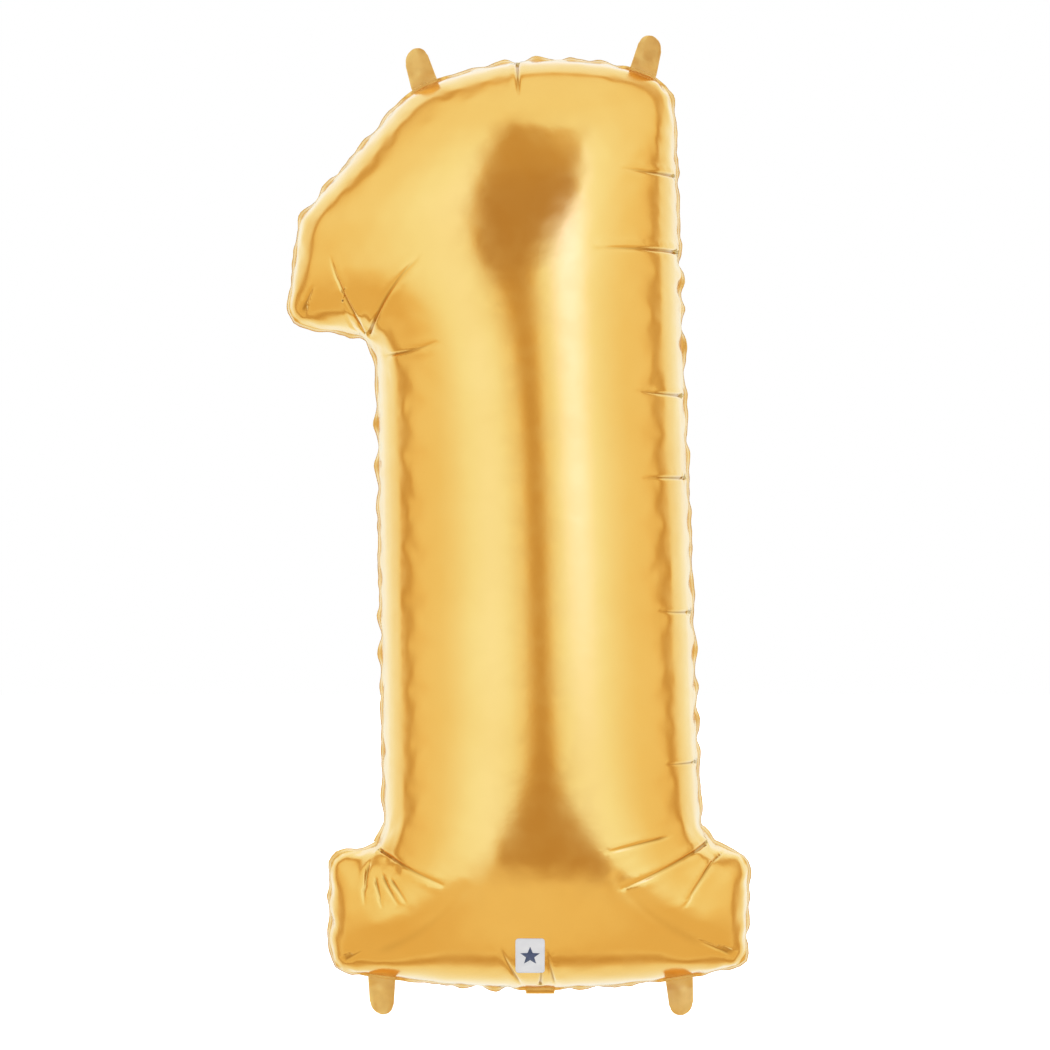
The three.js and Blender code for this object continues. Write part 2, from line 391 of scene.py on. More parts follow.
def refined(points, faces):
    """The part of a mesh that the faces use, subdivided twice. Returns its points and its triangles."""
    used, small = np.unique(faces, return_inverse=True)
    rough = new_mesh("rough", points[used], small.reshape(faces.shape))
    smooth = rough.modifiers.new("smooth", "SUBSURF")
    smooth.levels = 2
    smooth.boundary_smooth = "PRESERVE_CORNERS"
    made = rough.evaluated_get(bpy.context.evaluated_depsgraph_get()).data
    made.calc_loop_triangles()
    corners = np.empty(len(made.loop_triangles) * 3, np.int32)
    made.loop_triangles.foreach_get("vertices", corners)
    found = points_of(made)
    bpy.data.objects.remove(rough)
    return found, corners.reshape(-1, 3)


def inflated_films():
    """The surface of each inflated film, the outline of the cut and the seam, point for point."""
    dome, dome_faces = outer_sheet("front_panel")
    flat, rim = flatten(dome, dome_faces)
    outline, seam = resample(flat[rim], CLOTH_STEP, dome[rim])
    seam[:, 1] = 0
    inner = sift([(outline, 0), (honeycomb(outline, CLOTH_STEP), 0.62 * CLOTH_STEP)])
    triangles = triangulate(inner, len(outline))
    solid = Surface(flat, dome, dome_faces).in_space(inner)
    solid[:len(outline)] = seam
    points, cut, faces = balloon_of(inner, solid, triangles, len(outline))
    points = inflate(points, cut, faces, len(outline))
    half = len(triangles)
    films = {}
    for side, own in ((FRONT, faces[:half]), (BACK, faces[half:])):
        space, small = refined(points, own)
        laid, _ = refined(cut, own)
        films[side] = Surface(laid[:, [0, 2]], space, small)
    return films, outline, seam


# ---------------------------------------------------------------- seam, creases and flange

FLANGE_ROWS = (0.1, 0.35, 0.6, 0.8, 0.94, 1.0)      # shares of the flange's width
LIP = 0.94                               # the share from which the flange's edge turns flat again
CURL = math.radians(74)                  # how far the flange leans back, where it isn't held
CURL_WAVE = math.radians(14)
SEAM_ROWS = (1.2 * MM, 3 * MM, 5.5 * MM, 8.5 * MM)
SCALLOP = 0.7 * MM                       # how far the seam waves in its own plane
PUCKER = 0.55 * MM                       # height of the folds that run from the seam into the film
QUIET = (15 * MM, 34 * MM)               # flat within the first distance of a joint, curled past the second

# Where a crease starts: an anchor, and how far (mm) and which way from it. Then its heading, how much it
# turns on the way, its length (mm) and its depth (mm). Angles are in degrees from +X towards +Z.
CREASES = [
    ("under_flag", 4, 30, 70, -30, 80, 2.4),
    ("under_flag", 4, 100, 130, -28, 76, 2.2),
    ("under_flag", 26, -54, 4, 16, 52, 2.0),
    ("left_foot", 3, -20, -26, 4, 64, 2.4),
    ("left_foot", 12, -130, -112, 34, 40, 2.0),
    ("left_foot", 24, -66, -50, -10, 28, 1.5),
    ("left_foot", 18, -84, -66, 12, 34, 1.6),
    ("left_foot", 22, -100, -80, 14, 30, 1.4),
    ("right_foot", 3, 200, 206, -4, 86, 2.4),
    ("right_foot", 34, 160, 190, 4, 62, 1.8),
    ("right_foot", 14, -50, 232, 4, 54, 2.2),
    ("right_foot", 22, -26, 196, 40, 30, 1.5),
    ("crown", 1, -90, -90, 3, 32, 2.4),
    ("flag_tip", 6, 45, 52, 20, 26, 1.8),
    ("left_toe", 7, 45, 36, -10, 22, 1.6),
    ("right_toe", 7, 135, 150, 12, 40, 2.0),
    ("neck", 17, 175, 124, -14, 44, 2.0),
    ("neck", 14, 6, 106, -8, 36, 1.8),
    ("neck", 4, 90, 84, 10, 24, 1.6),
]
# Creases that run in from the right side: height above the lowest film, length and depth, all in mm.
SIDE_CREASES = [
    (758, 46, 2.0), (682, 72, 2.4), (553, 42, 1.9), (471, 38, 1.8), (350, 28, 1.2), (214, 26, 1.1),
]
# Soft folds where the stem's roundness runs out into the base, given in the same way as the creases.
SOFT_FOLDS = [
    ("left_toe", 22, 24, 14, 44, 128, 2.6),
    ("right_toe", 22, 150, 160, -34, 128, 2.2),
]
SOFT_WIDTH = 8 * MM
SOFT_SHADE = 0.4                         # how dark the painted shade in a soft fold's valley is, where a sharp one's is 1
CROWN_X = -17 * MM
PUCKER_REACH = 12 * MM                   # how far into the film the puckers run
SPREAD_REACH = 45 * MM                   # how far into the film the seam's spread is taken up
SEAM_SHADE = (8 * MM, 22 * MM)           # the creases' painted shade is weaker up to the first distance from the seam
# Shortest and longest waves round the seam, in metres.
STRENGTH_WAVES = (0.15, 0.6)
CURL_WAVES = (0.026, 0.06)
SCALLOP_WAVES = (0.024, 0.05)
PUCKER_WAVES = (0.014, 0.04)
TRIM_WAVES = (0.012, 0.05)


def ramp(values, start, end):
    """0 before start, 1 after end, and smooth between."""
    share = np.clip((values - start) / (end - start), 0, 1)
    return share * share * (3 - 2 * share)


def waves_round(count, perimeter, shortest, longest):
    """A random wave round the seam that repeats between the two lengths, about 1 high."""
    noise = np.fft.rfft(RANDOM.standard_normal(count))
    lengths = perimeter / np.maximum(np.arange(len(noise)), 0.5)
    noise[(lengths < shortest) | (lengths > longest)] = 0
    wave = np.fft.irfft(noise, count)
    return wave / wave.std() / 1.4


def corners_of(seam):
    """The outline's three inner corners and the outer ones that pucker, by name."""
    reach = round(24 * MM / CLOTH_STEP)
    before, after = seam - np.roll(seam, reach, axis=0), np.roll(seam, -reach, axis=0) - seam
    turn = np.arctan2(
        before[:, 0] * after[:, 1] - before[:, 1] * after[:, 0], (before * after).sum(axis=1)
    )
    inner = []
    for i in np.argsort(turn):
        if all(math.dist(seam[i], other) > 0.1 for other in inner):
            inner.append(tuple(seam[i]))
        if len(inner) == 3:
            break
    inner.sort(key=lambda corner: corner[1])
    left, right = sorted(inner[:2])
    flag = seam[seam[:, 1] > inner[2][1] - CLOTH_STEP]
    return {
        "under_flag": inner[2], "left_foot": left, "right_foot": right,
        "flag_tip": tuple(flag[flag.sum(axis=1).argmin()]),
        "left_toe": tuple(seam[seam.sum(axis=1).argmin()]),
        "right_toe": tuple(seam[(seam[:, 0] - seam[:, 1]).argmax()]),
    }


def seam_near(seam, x=None, z=None):
    """The highest seam point at an x, or the rightmost one at a height."""
    axis, other, wanted = (0, 1, x) if z is None else (1, 0, z)
    close = seam[abs(seam[:, axis] - wanted) < CLOTH_STEP]
    return tuple(close[close[:, other].argmax()])


def crease_path(start, heading, turn, length):
    """Points along a crease, in the front view."""
    steps = max(3, round(length / CREASE_STEP))
    path = [np.array(start)]
    for k in range(steps):
        angle = math.radians(heading + turn * k / steps)
        path.append(path[-1] + length / steps * np.array([math.cos(angle), math.sin(angle)]))
    return np.array(path)


class Crease:
    """A fold in the film: its path, its depth, its width, and whether it starts at the seam."""

    def __init__(self, path, depth, from_seam, width=None):
        self.path = path
        self.depth = depth
        self.from_seam = from_seam
        self.width = width or 0.8 * MM + 0.36 * depth
        self.is_sharp = width is None

    def laid_on(self, path):
        """The same fold along another path."""
        return Crease(path, self.depth, self.from_seam, None if self.is_sharp else self.width)


def creases_from(rows, anchors, width=None):
    """The folds that rows of a table describe."""
    found = []
    for anchor, away, way, heading, turn, length, depth in rows:
        x, z = anchors[anchor]
        angle = math.radians(way)
        start = (x + away * MM * math.cos(angle), z + away * MM * math.sin(angle))
        found.append(Crease(crease_path(start, heading, turn, length * MM), depth * MM, away < 5, width))
    return found


def crease_list(seam, lowest):
    """All the folds, in the front view."""
    neck_low, neck_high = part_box("neck_film_front")
    anchors = corners_of(seam)
    anchors["neck"] = ((neck_low.x + neck_high.x) / 2, lowest)
    anchors["crown"] = seam_near(seam, x=CROWN_X)
    found = creases_from(CREASES, anchors) + creases_from(SOFT_FOLDS, anchors, SOFT_WIDTH)
    for height, length, depth in SIDE_CREASES:
        x, z = seam_near(seam, z=lowest + height * MM)
        path = crease_path((x - 1 * MM, z), 180, RANDOM.uniform(-12, 12), length * MM)
        found.append(Crease(path, depth * MM, True))
    return found


def crease_rows(path):
    """Points along a crease and in rows beside it."""
    beside = outward_of_path(path) * CREASE_STEP
    return [path + beside * k for k in (0, 1, -1, 2, -2, 3, -3)]


def outward_of_path(path):
    """Unit vectors across an open path."""
    along = np.gradient(path, axis=0)
    along /= np.linalg.norm(along, axis=1)[:, None]
    return np.stack([along[:, 1], -along[:, 0]], axis=1)


def nearest_of(points, others):
    """The number of the nearest of the others to each flat point, and how far it is."""
    tree = KDTree(len(others))
    for i, (x, z) in enumerate(others.tolist()):
        tree.insert((x, z, 0), i)
    tree.balance()
    found = [tree.find((x, z, 0)) for x, z in points.tolist()]
    return np.array([f[1] for f in found]), np.array([f[2] for f in found])


def crease_shape(points, crease):
    """How far a crease lifts each flat point, and how deep in its valley each one lies, from 0 to 1, which is
    the valley's painted shade.
    """
    lift = np.zeros(len(points))
    shade = np.zeros(len(points))
    path, width = crease.path, crease.width
    reach = 7 * width
    close = np.flatnonzero(
        ((points > path.min(axis=0) - reach) & (points < path.max(axis=0) + reach)).all(axis=1))
    nearest, distance = nearest_of(points[close], path)
    across = ((points[close] - path[nearest]) * outward_of_path(path)[nearest]).sum(axis=1)
    along = nearest / (len(path) - 1)
    fade = (1 - along) ** 0.6
    if not crease.from_seam:
        fade = fade * ramp(along, 0, 0.25)
    valley = np.exp(-((distance / width) ** 1.5))
    shoulder = np.exp(-(((distance - 3 * width) / (2 * width)) ** 2))
    lift[close] = fade * crease.depth * (np.where(across > 0, 0.5, 0.25) * shoulder - valley)
    # painted shade: how much the valley darkens the foil's colour, less for soft folds
    shade[close] = fade * valley * (1 if crease.is_sharp else SOFT_SHADE)
    return lift, shade


class Seam:
    """What the seam does at each of its evenly spaced points."""

    def __init__(self, rim, place, quiet_places):
        perimeter = lengths_round(place).sum()
        self.rim = rim
        self.place = place
        self.outward = outward_of(place)
        apart = np.array([np.linalg.norm(place - np.array(quiet), axis=1) for quiet in quiet_places])
        self.free = ramp(apart.min(axis=0), *QUIET)
        count = len(rim)
        strength = 0.65 + 0.35 * waves_round(count, perimeter, *STRENGTH_WAVES)
        wave = waves_round(count, perimeter, *CURL_WAVES)
        self.curl = CURL + CURL_WAVE * self.free * strength * wave
        self.scallop = SCALLOP * self.free * waves_round(count, perimeter, *SCALLOP_WAVES)
        self.pucker = PUCKER * strength * waves_round(count, perimeter, *PUCKER_WAVES)
        self.trim = 0.05 * FLANGE_WIDTH * self.free * waves_round(count, perimeter, *TRIM_WAVES)

    def flange_row(self, share, offset):
        """Points round the flange at a share of its width, and that far to the back of its middle."""
        held = self.free * np.sin(self.curl)
        leaning, lip = min(share, LIP), max(share - LIP, 0)
        out = SEAM_SPREAD + self.scallop + leaning * FLANGE_WIDTH * np.cos(self.curl) - offset * held
        out += lip * FLANGE_WIDTH * 0.9 + share * self.trim
        back = leaning * FLANGE_WIDTH * held + offset * np.sqrt(1 - held ** 2)
        flat = self.place + self.outward * out[:, None]
        return np.stack([flat[:, 0], back, flat[:, 1]], axis=1)


def film_points(side, seam, flat, solid, triangles, creases):
    """The finished places of one film's points, and how deep in a crease each one lies, which the foil paints
    as shade.
    """
    nearest, distance = nearest_of(flat, seam.rim)
    lift = seam.pucker[nearest] * ramp(distance, 0, 5 * MM) * np.exp(-(distance / PUCKER_REACH) ** 2)
    shade = np.zeros(len(flat))
    for crease in creases:
        more, deeper = crease_shape(flat, crease)
        lift = lift + more
        shade = np.maximum(shade, deeper)
    # the painted shade in the creases fades towards the seam
    shade *= 0.3 + 0.7 * ramp(distance, *SEAM_SHADE)
    shaped = solid + normals_of(solid, triangles) * (lift * ramp(distance, 0, 3 * MM))[:, None]
    fade = np.exp(-distance / (9 * MM))
    shaped[:, 1] += side * LAYER * np.exp(-distance / (4 * MM))
    out = SEAM_SPREAD * np.exp(-distance / SPREAD_REACH) + seam.scallop[nearest] * fade
    shaped[:, [0, 2]] += seam.outward[nearest] * out[:, None]
    return shaped, shade


def strip_between(inner, outer):
    """Faces between two closed rows of point numbers, anticlockwise."""
    next_in, next_out = np.roll(inner, -1), np.roll(outer, -1)
    return np.stack([inner, outer, next_out, next_in], axis=1)


def grid_faces(rows, columns):
    """Faces of a grid of points, given row by row."""
    return [
        (j * columns + i, j * columns + i + 1, (j + 1) * columns + i + 1, (j + 1) * columns + i)
        for j in range(rows - 1) for i in range(columns - 1)
    ]


def solid_film(piece, thickness, offset=-1, rounding=0):
    """Gives a sheet its thickness: behind its faces at offset -1, and half on each side of them at 0."""
    shell = piece.modifiers.new("thickness", "SOLIDIFY")
    shell.thickness = thickness
    shell.offset = offset
    if rounding:
        piece.modifiers.new("rounding", "SUBSURF").levels = rounding
    apply_modifiers(piece)
    shade_smooth(piece)


def apply_modifiers(piece):
    """Turns what a piece's modifiers make into its mesh."""
    made = bpy.data.meshes.new_from_object(piece.evaluated_get(bpy.context.evaluated_depsgraph_get()))
    piece.modifiers.clear()
    piece.data = made


def shade_smooth(piece):
    """Smooth shading all over."""
    piece.data.polygons.foreach_set("use_smooth", [True] * len(piece.data.polygons))


def balloon_films(foil, seal):
    """The two inflated films with their flanges, and the seam that they share."""
    films, outline, seam_line = inflated_films()
    rim, place = resample(outline, FILM_STEP, seam_line[:, [0, 2]])
    joints = [joint["pos_m"] for joint in frame["joints"]]
    seam = Seam(rim, place, [(x, z) for x, _, z in joints])
    creases = crease_list(seam_line[:, [0, 2]], place[:, 1].min())
    pieces = {}
    for side, name in ((FRONT, "front_film"), (BACK, "back_film")):
        film = films[side]
        paths = film.on_cut([crease.path for crease in creases], side)
        laid = [crease.laid_on(path) for path, crease in zip(paths, creases)]
        inward = [(rim - outward_of(rim) * row, 0.62 * row + 0.3 * MM) for row in SEAM_ROWS]
        sharp = [crease.path for crease in laid if crease.is_sharp]
        beside = [(row, 0.8 * CREASE_STEP) for path in sharp for row in crease_rows(path)]
        beside = [(row[inside(row, rim)], gap) for row, gap in beside]
        flat = sift([(rim, 0), *inward, *beside, (honeycomb(rim, FILM_STEP), 0.62 * FILM_STEP)])
        triangles = triangulate(flat, len(rim))
        solid = film.in_space(flat)
        solid[:len(rim)] = np.stack([place[:, 0], np.zeros(len(place)), place[:, 1]], axis=1)
        facing = triangles if side == FRONT else triangles[:, ::-1]
        dome, shade = film_points(side, seam, flat, solid, facing, laid)
        rows = [np.arange(len(rim))]
        faces = facing.tolist()
        points = [dome]
        for k, share in enumerate(FLANGE_ROWS):
            rows.append(len(dome) + k * len(rim) + np.arange(len(rim)))
            points.append(seam.flange_row(share, side * LAYER))
            strip = strip_between(rows[-2], rows[-1])
            faces += (strip if side == FRONT else strip[:, ::-1]).tolist()
        piece = new_mesh(name, np.vstack(points), faces)
        piece.data.materials.append(foil)
        piece.data.materials.append(seal)
        on_flange = [int(k >= len(triangles)) for k in range(len(faces))]
        piece.data.polygons.foreach_set("material_index", on_flange)
        mark_sharp(piece.data, rows[0])
        shade = np.concatenate([shade, np.zeros(len(piece.data.vertices) - len(shade))])
        # the crease valleys' painted shade, which gold_foil reads to darken the foil's colour
        piece.data.attributes.new("fold", "FLOAT", "POINT").data.foreach_set("value", shade)
        solid_film(piece, FILM)
        pieces[side] = piece
    return pieces, seam


def mark_sharp(mesh, row):
    """Marks the edges along a closed row of points as sharp."""
    wanted = {frozenset(pair) for pair in zip(row.tolist(), np.roll(row, -1).tolist())}
    sharp = [frozenset(edge.vertices) in wanted for edge in mesh.edges]
    mesh.attributes.new("sharp_edge", "BOOLEAN", "EDGE").data.foreach_set("value", sharp)


# ---------------------------------------------------------------- weld, tabs, neck, valve and printed patch

WELD_INSET = 3 * MM                      # the tabs' roots lie between the films outside the weld
WELD_THICKNESS = 0.5 * MM
TAB_THICKNESS = 0.5 * MM
TAB_ROOT = 3 * MM                        # how far a tab reaches in between the films
TAB_TWIST = (math.radians(6), math.radians(9))
NECK_ROOT = 5 * MM                       # how far the neck reaches in between the films
NECK_THICKNESS = 0.12 * MM
VALVE_THICKNESS = 0.1 * MM
INK_THICKNESS = 0.06 * MM
PATCH_SIZE = (27 * MM, 35 * MM)
PATCH_MIDDLE = (-3.5 * MM, 31 * MM)      # from the middle of the part, and up from the seam's lowest point


def weld_ring(seam, lining):
    """The welded line that joins the two films round the seam."""
    shares = np.linspace(0.08, 1 - WELD_INSET / FLANGE_WIDTH, 4)
    rows = [seam.flange_row(share, -WELD_THICKNESS / 2) for share in shares]
    count = len(seam.place)
    faces = np.vstack([
        strip_between(k * count + np.arange(count), (k + 1) * count + np.arange(count))
        for k in range(len(rows) - 1)
    ])
    ring = new_mesh("seam_weld_ring", np.vstack(rows), faces)
    ring.data.materials.append(lining)
    solid_film(ring, WELD_THICKNESS)
    return ring


def tab_grid(width_at, length, root, across=17, along=34):
    """Points (across, along) of a tab with a rounded tip, row by row from its root."""
    rows = []
    for v in np.linspace(0, 1, along):
        reach = -root + v * (length + root)
        half = width_at(reach) / 2
        rows += [(u * half, reach) for u in np.linspace(-1, 1, across)]
    return np.array(rows).reshape(along, across, 2)


def hanging_tab(joint, foil):
    """One of the four hanging tabs: a tongue of welded foil with a rounded tip and a pressed border."""
    node = joint["child"]
    place = np.array(joint["pos_m"])
    line = np.array(joint["axis"])
    out = np.array([-line[2], 0, line[0]])
    solid = cad_points(node) - place
    reach, side = solid @ out, solid @ line
    length = reach.max()
    root_width = 1.08 * np.ptp(side[reach < 0.2 * length])
    tip_middle = side[reach > 0.97 * length].mean()
    tip_width = 0.84 * root_width

    def width_at(distance):
        straight = root_width + (tip_width - root_width) * max(distance, 0) / length
        left = length - distance
        round_part = math.sqrt(max(tip_width ** 2 / 4 - max(tip_width / 2 - left, 0) ** 2, 1e-9)) * 2
        return min(straight, max(round_part, 1.2 * MM)) if left < tip_width / 2 else straight

    grid = tab_grid(width_at, length, TAB_ROOT)
    rows, columns, _ = grid.shape
    phase = RANDOM.uniform(0, 6)
    twist = math.tan(RANDOM.uniform(*TAB_TWIST)) * RANDOM.choice((-1, 1))
    points = []
    for j in range(rows):
        for i in range(columns):
            across, along = grid[j, i]
            share = max(along, 0) / length
            edge = abs(2 * i / (columns - 1) - 1)
            curl = 1.6 * MM * share ** 2 * math.sin(phase + 2.2 * share)
            dimple = -0.5 * MM * math.exp(-((along - 9 * MM) / (4 * MM)) ** 2 - (across / (5 * MM)) ** 2)
            border = 0.35 * MM * ramp(np.array(edge), 0.72, 0.9) * share
            crinkle = 0.3 * MM * share * math.sin(across / (2.1 * MM) + phase) * edge
            lift = curl + (dimple + border + crinkle) * ramp(np.array(along), 0, 4 * MM)
            lift += twist * across * float(ramp(np.array(along), 0, 10 * MM))
            sway = tip_middle * share
            points.append(place + line * (across + sway) + out * along + np.array([0, lift, 0]))
    piece = new_mesh(node + "_foil", points, grid_faces(rows, columns))
    piece.data.materials.append(foil)
    solid_film(piece, TAB_THICKNESS, offset=0, rounding=1)
    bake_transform(piece)
    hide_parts(node)


def cad_points(node):
    """The points of a CAD node as an array."""
    return points_of(frame["nodes"][node].data)


def limp_film(name, width, path, ways, ripple, thickness, material):
    """A gathered strip of film along a path of places, with the way that its face points at each."""
    columns = 31
    points = []
    for place, way, gather, height in zip(path, ways, *ripple):
        for u in np.linspace(-0.5, 0.5, columns):
            fold = height * math.sin(34 * u + 90 * place[2]) * math.cos(5 * u)
            points.append(place + way * fold + np.array([u * width * gather, 0, 0]))
    piece = new_mesh(name, points, grid_faces(len(path), columns))
    piece.data.materials.append(material)
    solid_film(piece, thickness, offset=0)
    return piece


def neck_film(side, joint, foil):
    """One of the two films of the filling neck, gathered where it leaves the seam and folded back."""
    node = "neck_film_front" if side == FRONT else "neck_film_back"
    place = np.array(joint["pos_m"])
    solid = cad_points(node) - place
    far = solid[np.linalg.norm(solid, axis=1).argmax()] * [0, 1, 1]
    way = far / np.linalg.norm(far)
    along = np.linspace(-NECK_ROOT, (solid @ way).max(), 44)
    turned = ramp(along, -1 * MM, 3 * MM)[:, None]
    up, under = np.array([0, 0, 1]), np.array([0, way[2], -way[1]])
    path = place + np.where(along[:, None] < 0, -along[:, None] * up, along[:, None] * way)
    ways = np.array([0, -1, 0]) * (1 - turned) + under * turned
    apart = -side * (0.14 * MM + 0.35 * MM * ramp(along, 0.01, 0.04))
    gather = 1 - 0.14 * np.exp(-((along - 3 * MM) / (9 * MM)) ** 2)
    height = 0.7 * MM * ramp(along, -0.5 * MM, 5 * MM)
    piece = limp_film(node + "_foil", np.ptp(solid[:, 0]), path + ways * apart[:, None], ways,
                      (gather, height), NECK_THICKNESS, foil)
    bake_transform(piece)
    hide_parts(node)


def valve_film(side, plastic):
    """One of the two clear films of the valve, a flat sleeve that hangs inside the balloon from the neck."""
    node = "valve_film_front" if side == FRONT else "valve_film_back"
    low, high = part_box(node)
    along = np.linspace(low.z, high.z, 50)
    middle = side * (0.12 * MM + 1.2 * MM * ramp(along, low.z + 0.03, high.z))
    path = np.stack([np.full(50, (low.x + high.x) / 2), middle, along], axis=1)
    ways = np.tile([0.0, 1.0, 0.0], (50, 1))
    height = 0.5 * MM * ramp(along, low.z + 0.015, low.z + 0.05)
    piece = limp_film(
        node + "_sleeve", high.x - low.x, path, ways, (np.ones(50), height), VALVE_THICKNESS, plastic)
    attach(piece, "envelope")
    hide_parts(node)


def patch_on(film, name, outline, middle, lift, ink):
    """A thin printed shape that follows the front of a film."""
    loop = resample(outline, 0.9 * MM)[0]
    flat = sift([(loop, 0), (honeycomb(loop, 1.6 * MM), 1 * MM)])
    faces = triangulate(flat, len(loop))
    film.data.calc_loop_triangles()
    tree = BVHTree.FromPolygons(
        [v.co for v in film.data.vertices], [tuple(t.vertices) for t in film.data.loop_triangles])
    points = []
    for x, z in flat + middle:
        hit, normal, _, _ = tree.ray_cast(Vector((x, -0.5, z)), Vector((0, 1, 0)))
        points.append(hit + normal * lift)
    piece = new_mesh(name, points, faces)
    piece.data.materials.append(ink)
    solid_film(piece, INK_THICKNESS)
    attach(piece, "envelope")
    return piece


def rounded_box(width, height, corner, steps=8):
    """Outline of a rectangle with round corners, anticlockwise."""
    points = []
    for quarter in range(4):
        middle_x = (width / 2 - corner) * (1 if quarter in (0, 3) else -1)
        middle_z = (height / 2 - corner) * (1 if quarter in (0, 1) else -1)
        for k in range(steps + 1):
            angle = math.radians(90 * quarter + 90 * k / steps)
            points.append((middle_x + corner * math.cos(angle), middle_z + corner * math.sin(angle)))
    return np.array(points)


def star(outer, inner, tips=5):
    """Outline of a star, anticlockwise."""
    angles = np.radians(90 + np.arange(2 * tips) * 180 / tips)
    radii = np.where(np.arange(2 * tips) % 2 == 0, outer, inner)
    return np.stack([radii * np.cos(angles), radii * np.sin(angles)], axis=1)


# ---------------------------------------------------------------- materials

def principled(name):
    """A new material, its node tree and its shader."""
    made = bpy.data.materials.new(name)
    made.use_nodes = True
    return made, made.node_tree, made.node_tree.nodes["Principled BSDF"]


def set_inputs(node, **values):
    """Sets a node's inputs, named with _ for each space."""
    for name, value in values.items():
        node.inputs[name.replace("_", " ")].default_value = value


def noise(tree, scale, detail=3.0, distortion=0.0):
    """A noise texture in the object's own space."""
    coordinates = tree.nodes.new("ShaderNodeTexCoord")
    made = tree.nodes.new("ShaderNodeTexNoise")
    set_inputs(made, Scale=scale, Detail=detail, Distortion=distortion)
    tree.links.new(coordinates.outputs["Object"], made.inputs["Vector"])
    return made.outputs["Fac"]


def between(tree, factor, low, high, from_low=0.35, from_high=0.65):
    """A number that goes from low to high as the factor goes through its middle range."""
    made = tree.nodes.new("ShaderNodeMapRange")
    made.interpolation_type = "SMOOTHSTEP"
    set_inputs(made, From_Min=from_low, From_Max=from_high, To_Min=low, To_Max=high)
    tree.links.new(factor, made.inputs["Value"])
    return made.outputs["Result"]


def mixed(tree, factor, one, other):
    """A colour between two colours."""
    made = tree.nodes.new("ShaderNodeMix")
    made.data_type = "RGBA"
    for socket, colour in ((made.inputs[6], one), (made.inputs[7], other)):
        if isinstance(colour, tuple):
            socket.default_value = (*colour, 1)
        else:
            tree.links.new(colour, socket)
    tree.links.new(factor, made.inputs["Factor"])
    return made.outputs[2]


def bump(tree, height, distance, strength=1.0, below=None):
    """A bump from a height, on top of another bump if there is one."""
    made = tree.nodes.new("ShaderNodeBump")
    set_inputs(made, Distance=distance, Strength=strength)
    tree.links.new(height, made.inputs["Height"])
    if below is not None:
        tree.links.new(below, made.inputs["Normal"])
    return made.outputs["Normal"]


def gold_foil():
    """Metallised film with a warm lacquer: satin, slightly uneven, finely crinkled, and darkened with painted
    shade in the crease valleys.
    """
    made, tree, shader = principled("gold_foil")
    shader.inputs["Metallic"].default_value = 1.0
    cloudy = between(tree, noise(tree, 7, 4), 0, 1)
    lacquer = mixed(tree, cloudy, (0.985, 0.62, 0.185), (0.965, 0.585, 0.16))
    # painted shade: the foil's colour turns brown in the crease valleys
    fold = tree.nodes.new("ShaderNodeAttribute")
    fold.attribute_name = "fold"
    painted_crease_shade = mixed(tree, between(tree, fold.outputs["Fac"], 0, 1, 0.1, 0.9), lacquer, (0.56, 0.29, 0.06))
    tree.links.new(painted_crease_shade, shader.inputs["Base Color"])
    tree.links.new(between(tree, noise(tree, 45, 5, 0.4), 0.16, 0.21), shader.inputs["Roughness"])
    swell = bump(tree, noise(tree, 16, 2, 0.3), 0.5 * MM, 0.5)
    crinkle = bump(tree, noise(tree, 160, 4, 0.8), 0.05 * MM, 0.6, swell)
    tree.links.new(crinkle, shader.inputs["Normal"])
    return made


def sealed_foil(name, roughness):
    """The same film where the heat seal has pressed a fine cross-hatch into it."""
    made, tree, shader = principled(name)
    set_inputs(shader, Metallic=1.0, Roughness=roughness)
    cloudy = between(tree, noise(tree, 60, 4), 0, 1)
    tree.links.new(mixed(tree, cloudy, (0.97, 0.61, 0.19), (0.88, 0.52, 0.15)), shader.inputs["Base Color"])
    coordinates = tree.nodes.new("ShaderNodeTexCoord")
    normal = None
    for angle in (45, -45):
        turned = tree.nodes.new("ShaderNodeMapping")
        turned.inputs["Rotation"].default_value = (0, math.radians(angle), 0)
        tree.links.new(coordinates.outputs["Object"], turned.inputs["Vector"])
        lines = tree.nodes.new("ShaderNodeTexWave")
        lines.inputs["Scale"].default_value = 260
        tree.links.new(turned.outputs["Vector"], lines.inputs["Vector"])
        normal = bump(tree, lines.outputs["Fac"], 0.08 * MM, 0.6, normal)
    tree.links.new(normal, shader.inputs["Normal"])
    return made


def plain_film(name, colour, darker, roughness):
    """A plastic film or lining with a faint cloudiness and a fine grain."""
    made, tree, shader = principled(name)
    shader.inputs["Roughness"].default_value = roughness
    cloudy = between(tree, noise(tree, 90, 3), 0, 1)
    tree.links.new(mixed(tree, cloudy, colour, darker), shader.inputs["Base Color"])
    tree.links.new(bump(tree, noise(tree, 900, 2), 0.03 * MM, 0.5), shader.inputs["Normal"])
    return made


# ---------------------------------------------------------------- studio

def number(tree, operation, *values):
    """A maths node's output from numbers and other outputs."""
    made = tree.nodes.new("ShaderNodeMath")
    made.operation = operation
    for k, value in enumerate(values):
        if isinstance(value, (int, float)):
            made.inputs[k].default_value = value
        else:
            tree.links.new(value, made.inputs[k])
    return made.outputs[0]


def step_up(tree, value, middle, softness):
    """0 below the middle and 1 above it, over a soft edge, in degrees."""
    return between(tree, value, 0, 1, middle - softness / 2, middle + softness / 2)


def inverse(tree, value):
    """1 minus a value."""
    return number(tree, "SUBTRACT", 1.0, value)


def total(tree, *parts):
    """The sum of numbers, outputs, and pairs of a number and the output that it multiplies."""
    found = None
    for part in parts:
        if isinstance(part, tuple):
            part = number(tree, "MULTIPLY", part[1], float(part[0]))
        found = part if found is None else number(tree, "ADD", found, part)
    return found


def blended(tree, base, tone, *masks):
    """The base brightness, with another tone where all the masks are 1."""
    mask = masks[0]
    for other in masks[1:]:
        mask = number(tree, "MULTIPLY", mask, other)
    change = number(tree, "SUBTRACT", tone, base)
    return number(tree, "ADD", base, number(tree, "MULTIPLY", change, mask))


